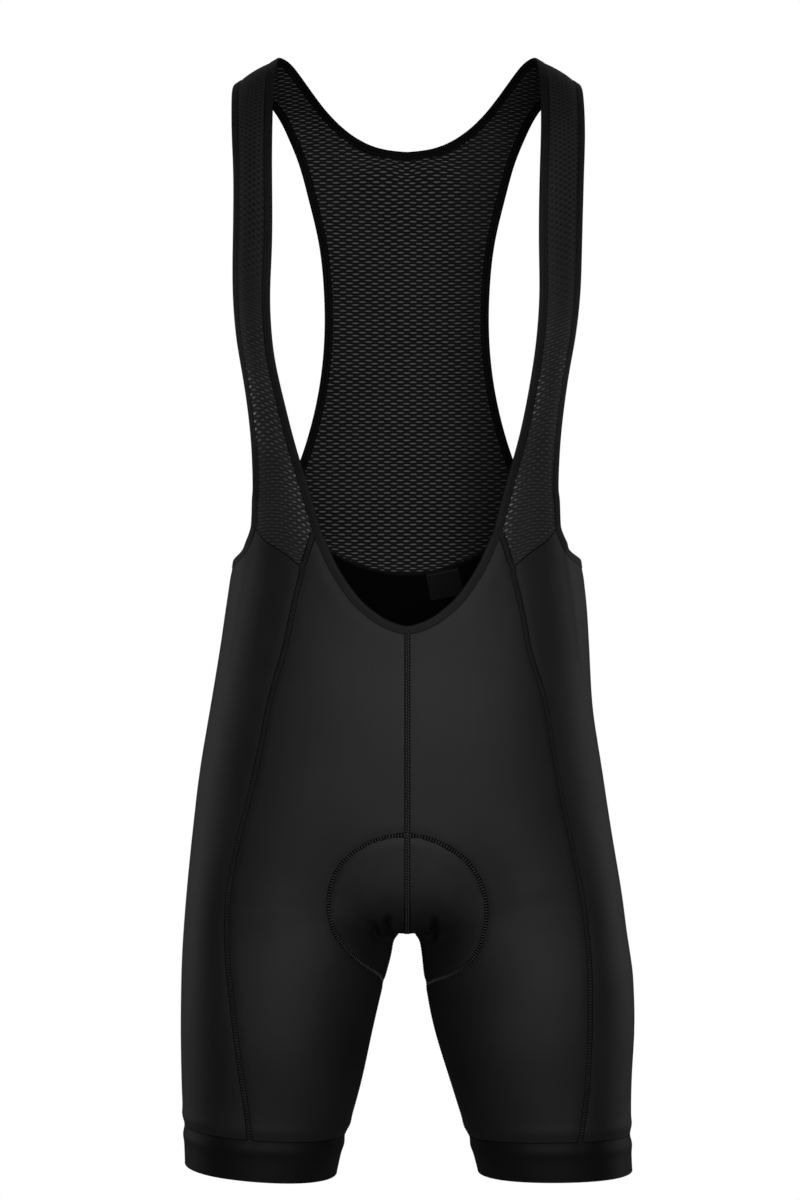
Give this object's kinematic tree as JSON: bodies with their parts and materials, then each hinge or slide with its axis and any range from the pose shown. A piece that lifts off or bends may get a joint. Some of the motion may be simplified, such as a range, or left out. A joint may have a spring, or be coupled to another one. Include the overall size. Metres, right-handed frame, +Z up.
{
  "type": "cycling bib shorts",
  "caption": "Black stretch cycling bib shorts in worn, hollow form: panelled shorts with gripper hems, mesh shoulder straps and a one-piece mesh back, bound edges.",
  "frame": {"origin": "between the two shoulder straps, midway on the line where their undersides rest on the shoulders", "axes": "+Z up; the front faces -Y; +X is the wearer's left"},
  "size_m": [0.3801, 0.2257, 0.9397],
  "materials": {
    "knit": "matt black warp-knit stretch fabric with a soft sheen and flatlock seams",
    "mesh_knit": "black knitted mesh with staggered eyelets",
    "gripper": "smooth dense black elastic band, darker than the shorts",
    "binding": "folded black elastic binding, twin stitched",
    "satin": "black woven satin label, left bare"
  },
  "bodies": {
    "root": {"front_panel_left": "knit", "front_panel_right": "knit", "side_panel_left": "knit", "side_panel_right": "knit", "seat_panel_left": "knit", "seat_panel_right": "knit", "gripper_left": "gripper", "gripper_right": "gripper", "strap_left": "mesh_knit", "strap_right": "mesh_knit", "back_mesh": "mesh_knit", "binding_neck": "binding", "binding_armhole_left": "binding", "binding_armhole_right": "binding", "label": "satin"}
  },
  "joints": []
}
